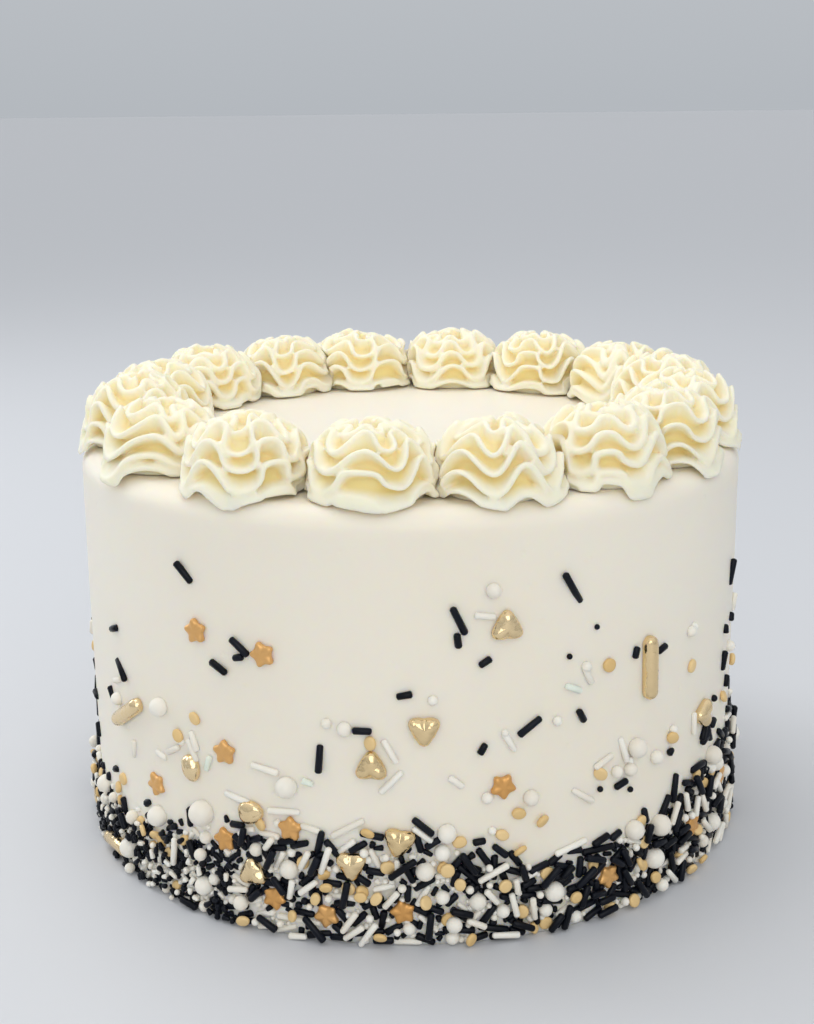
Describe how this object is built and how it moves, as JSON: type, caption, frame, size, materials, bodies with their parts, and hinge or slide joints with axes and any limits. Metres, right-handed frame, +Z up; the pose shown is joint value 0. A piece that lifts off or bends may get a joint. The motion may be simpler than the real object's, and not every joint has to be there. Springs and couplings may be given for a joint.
{
  "type": "cake",
  "caption": "Round iced celebration cake with a smooth coat, a ring of piped ruffled rosettes round the rim and sprinkles scattered up the side from a dense band at the base.",
  "frame": {"origin": "middle of the cake's flat underside", "axes": "+Z up through the middle of the cake, -Y towards the side that shows the landmark sprinkles"},
  "size_m": [0.2128, 0.2154, 0.1455],
  "materials": {
    "buttercream_coat": "satin",
    "piped_buttercream": "satin",
    "black_sugar": "satin",
    "white_sugar": "satin",
    "gold_sugar": "pearly",
    "gold_leafed_sugar": "polished"
  },
  "bodies": {
    "root": {"iced_cake": "buttercream_coat", "rosette_01": "piped_buttercream", "rosette_02": "piped_buttercream", "rosette_03": "piped_buttercream", "rosette_04": "piped_buttercream", "rosette_05": "piped_buttercream", "rosette_06": "piped_buttercream", "rosette_07": "piped_buttercream", "rosette_08": "piped_buttercream", "rosette_09": "piped_buttercream", "rosette_10": "piped_buttercream", "rosette_11": "piped_buttercream", "rosette_12": "piped_buttercream", "rosette_13": "piped_buttercream", "rosette_14": "piped_buttercream", "rosette_15": "piped_buttercream", "rosette_16": "piped_buttercream"}
  },
  "joints": []
}
